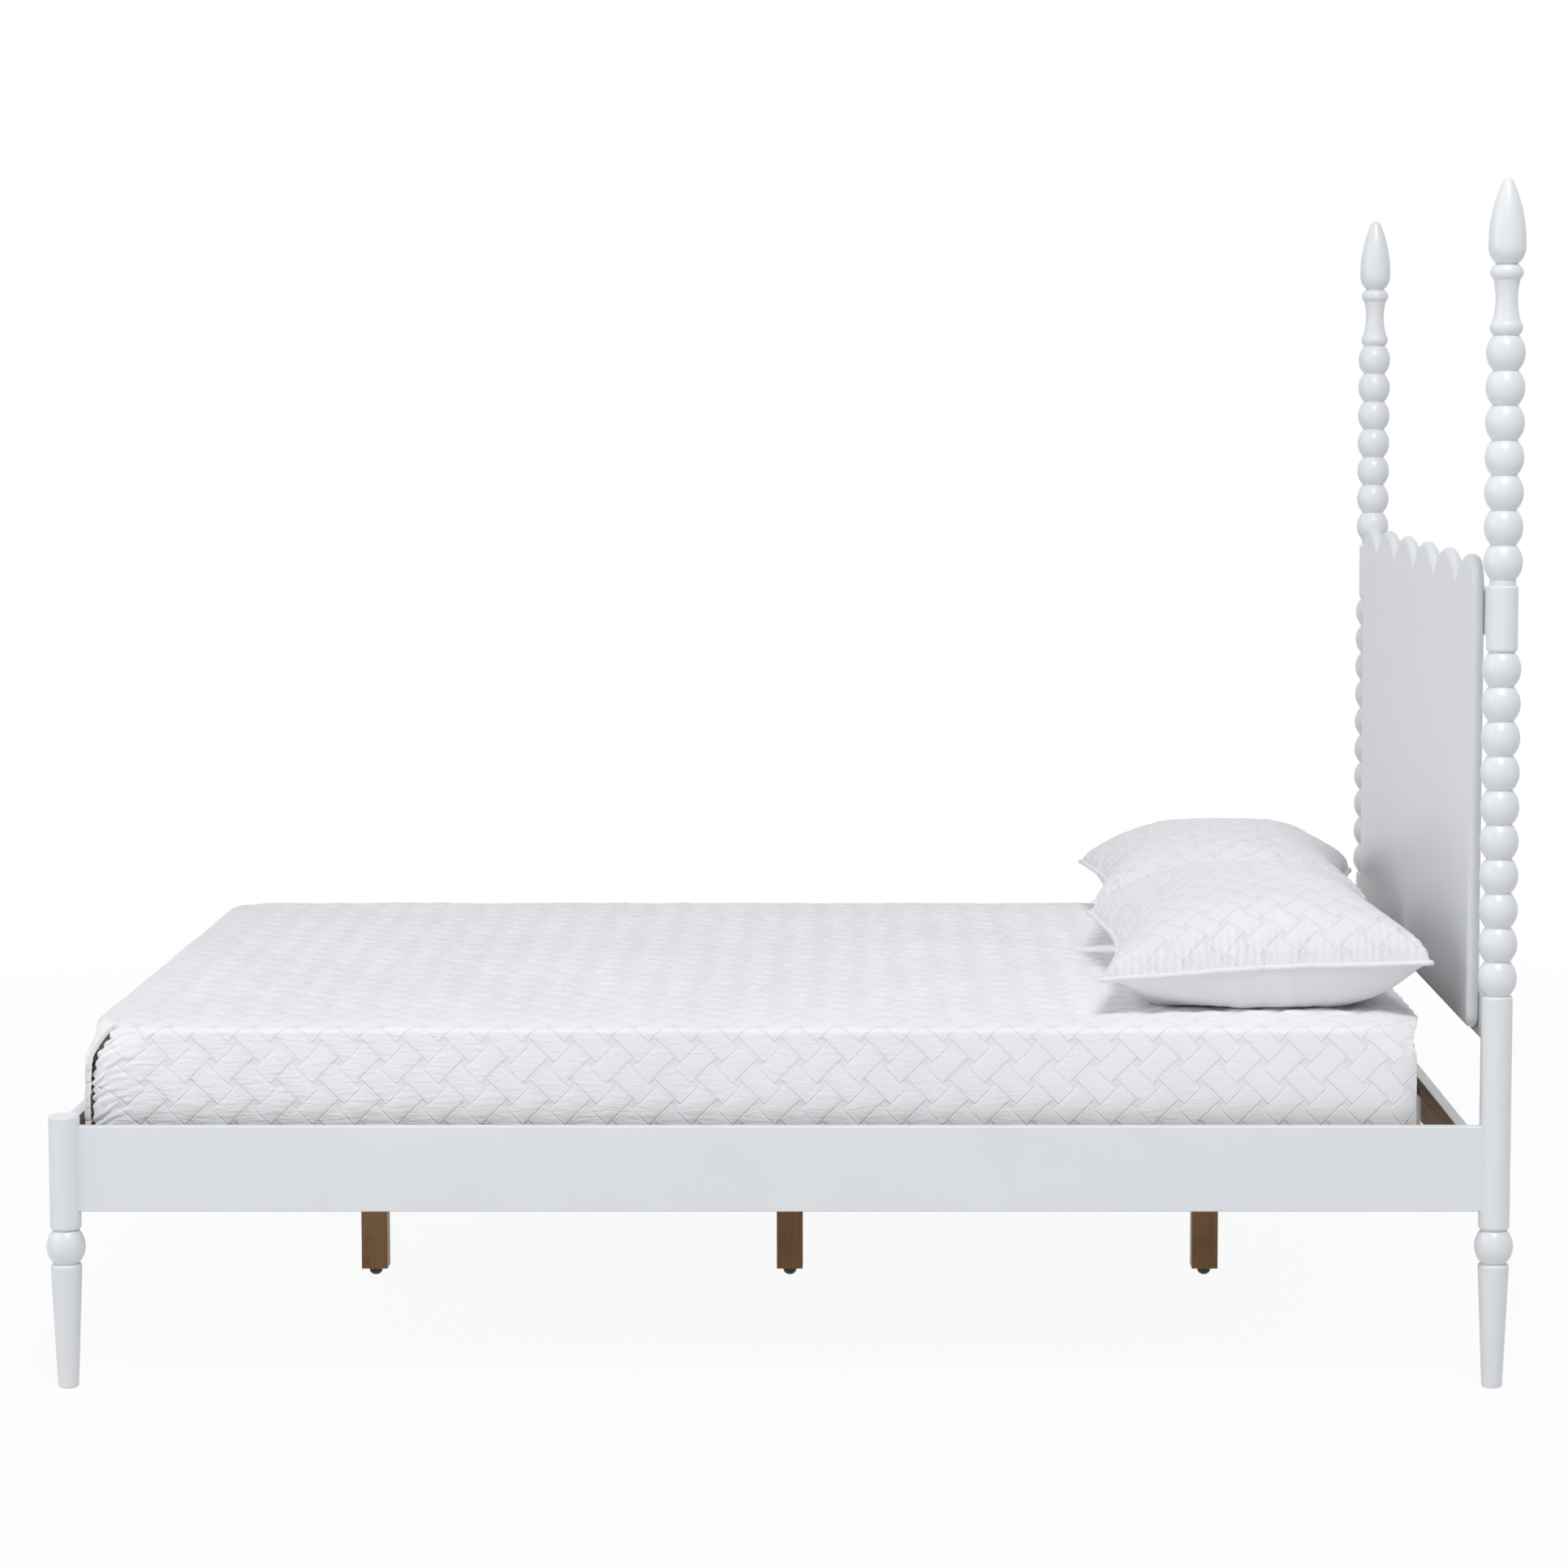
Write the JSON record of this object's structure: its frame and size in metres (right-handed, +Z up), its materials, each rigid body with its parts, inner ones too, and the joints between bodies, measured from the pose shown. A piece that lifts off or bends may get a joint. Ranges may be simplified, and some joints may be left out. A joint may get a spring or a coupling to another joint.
{
  "type": "platform bed",
  "caption": "White-painted platform bed with beaded spindle head posts, a scalloped headboard panel, slatted base, mattress, quilted coverlet and pillows.",
  "frame": {"origin": "on the floor, midway between the four post axes", "axes": "+X along the bed towards the head, +Y across the bed away from the pictured side, +Z up"},
  "size_m": [2.116, 1.619, 1.7336],
  "materials": {
    "white_paint": "satin",
    "brown_wood": "satin",
    "bare_wood": "matte",
    "zinc_steel": "satin",
    "black_plastic": "matte",
    "ticking": "matte",
    "quilted_cotton": "matte"
  },
  "bodies": {
    "frame": {"head_post_near": "white_paint", "head_post_far": "white_paint", "upper_post_near": "white_paint", "upper_post_far": "white_paint", "foot_post_near": "white_paint", "foot_post_far": "white_paint", "headboard_panel": "white_paint", "headboard_upper_rail": "white_paint", "headboard_lower_rail": "white_paint", "head_rail": "white_paint", "foot_rail": "white_paint", "side_rail_near": "white_paint", "side_rail_far": "white_paint", "centre_leg_foot": "brown_wood", "centre_leg_middle": "brown_wood", "centre_leg_head": "brown_wood", "slat_01": "bare_wood", "slat_02": "bare_wood", "slat_03": "bare_wood", "slat_04": "bare_wood", "slat_05": "bare_wood", "slat_06": "bare_wood", "slat_07": "bare_wood", "slat_08": "bare_wood", "slat_09": "bare_wood", "slat_10": "bare_wood", "slat_11": "bare_wood", "slat_12": "bare_wood", "slat_13": "bare_wood", "slat_14": "bare_wood", "slat_cleat_near": "bare_wood", "slat_cleat_far": "bare_wood", "centre_beam": "bare_wood", "rail_dowels": "bare_wood", "upper_post_screws": "zinc_steel", "bed_bolts": "zinc_steel", "barrel_nuts": "zinc_steel", "panel_screws": "zinc_steel", "cleat_screws": "zinc_steel", "slat_screws": "zinc_steel", "bracket_screws": "zinc_steel", "leg_bolts": "zinc_steel", "leg_tee_nuts": "zinc_steel", "beam_bracket_foot": "zinc_steel", "beam_bracket_head": "zinc_steel"},
    "mattress": {"mattress": "ticking", "coverlet": "quilted_cotton"},
    "near_pillow": {"pillow_near": "quilted_cotton"},
    "far_pillow": {"pillow_far": "quilted_cotton"},
    "foot_glide": {"leg_glide_foot": "black_plastic"},
    "middle_glide": {"leg_glide_middle": "black_plastic"},
    "head_glide": {"leg_glide_head": "black_plastic"}
  },
  "joints": [
    {"name": "mattress_lift", "type": "slide", "parent": "frame", "child": "mattress", "axis": [0, 0, 1], "range_m": [0, 0.5]},
    {"name": "near_pillow_lift", "type": "slide", "parent": "mattress", "child": "near_pillow", "axis": [0, 0, 1], "range_m": [0, 0.4]},
    {"name": "far_pillow_lift", "type": "slide", "parent": "mattress", "child": "far_pillow", "axis": [0, 0, 1], "range_m": [0, 0.4]},
    {"name": "foot_glide_screw", "type": "slide", "parent": "frame", "child": "foot_glide", "axis": [0, 0, -1], "range_m": [0, 0.012]},
    {"name": "middle_glide_screw", "type": "slide", "parent": "frame", "child": "middle_glide", "axis": [0, 0, -1], "range_m": [0, 0.012]},
    {"name": "head_glide_screw", "type": "slide", "parent": "frame", "child": "head_glide", "axis": [0, 0, -1], "range_m": [0, 0.012]}
  ]
}
